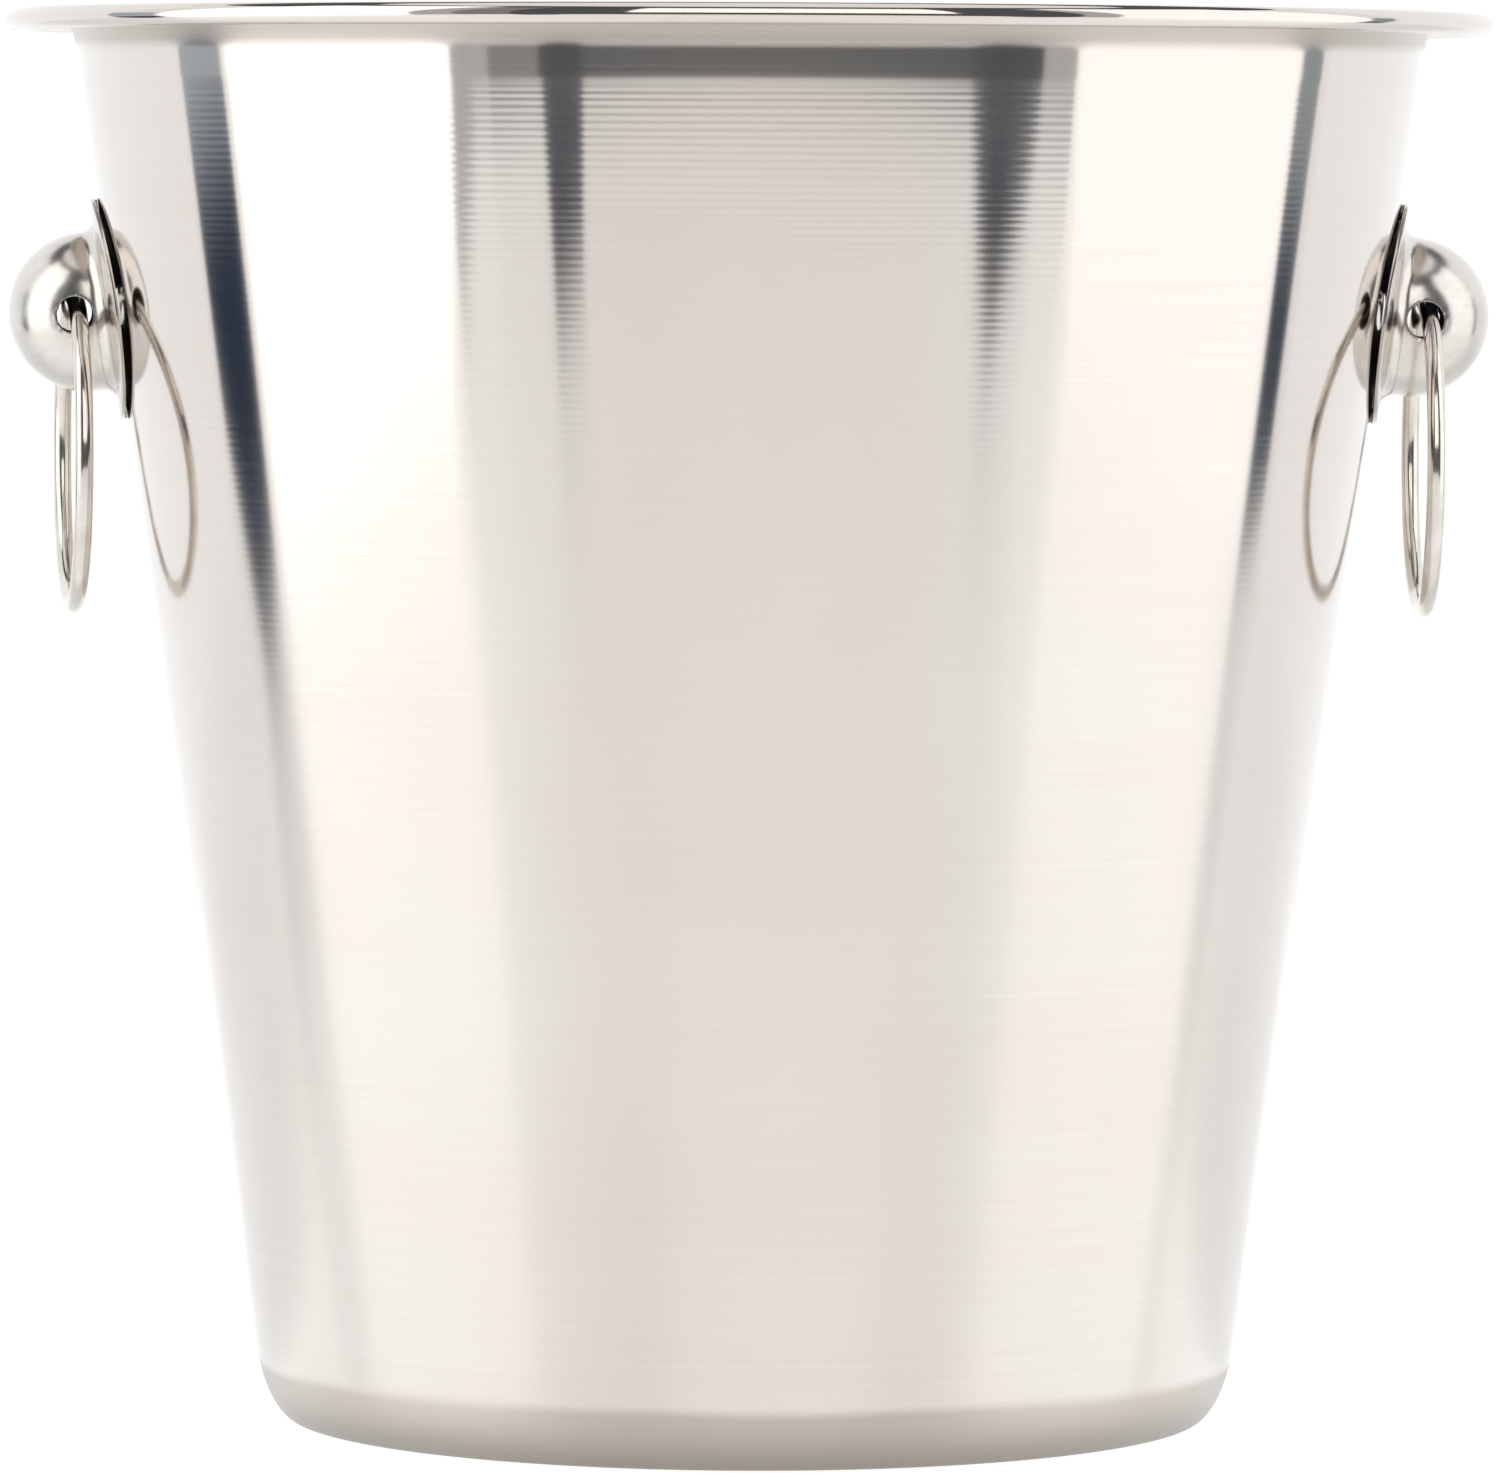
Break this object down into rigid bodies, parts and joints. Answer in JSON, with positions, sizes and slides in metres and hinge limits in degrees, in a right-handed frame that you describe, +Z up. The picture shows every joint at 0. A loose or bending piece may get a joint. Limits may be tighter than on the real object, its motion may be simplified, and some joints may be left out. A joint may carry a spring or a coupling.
{
  "type": "champagne bucket",
  "caption": "Tapered metal wine cooler bucket with a flat turned-out lip, a rolled edge, and a hollow round knob on each side that carries a loose swinging ring.",
  "frame": {"origin": "middle of the flat base, on the table", "axes": "+Z up along the axis of the bucket, -Y to the front, knobs to the -X side (left) and the +X side (right)"},
  "size_m": [0.215, 0.215, 0.203],
  "materials": {
    "bucket_satin": "satin, brushed round the bucket, with a polished rolled edge",
    "knob_polish": "fine satin polish",
    "ring_polish": "polished wire",
    "weld_metal": "bare weld metal, hidden"
  },
  "bodies": {
    "bucket": {"bucket_body": "bucket_satin", "knob_left": "knob_polish", "knob_right": "knob_polish", "weld_left_upper": "weld_metal", "weld_left_lower": "weld_metal", "weld_right_upper": "weld_metal", "weld_right_lower": "weld_metal"},
    "left_ring": {"ring_left": "ring_polish"},
    "right_ring": {"ring_right": "ring_polish"}
  },
  "joints": [
    {"name": "left_ring_swing", "type": "hinge", "parent": "bucket", "child": "left_ring", "pos_m": [-0.09707, -0.00551, 0.15872], "axis": [-0.1141, 0.9935, 0], "range_deg": [-13, 164]},
    {"name": "right_ring_swing", "type": "hinge", "parent": "bucket", "child": "right_ring", "pos_m": [0.09707, -0.00551, 0.15872], "axis": [0.0009, -1, 0], "range_deg": [-13, 164]}
  ]
}
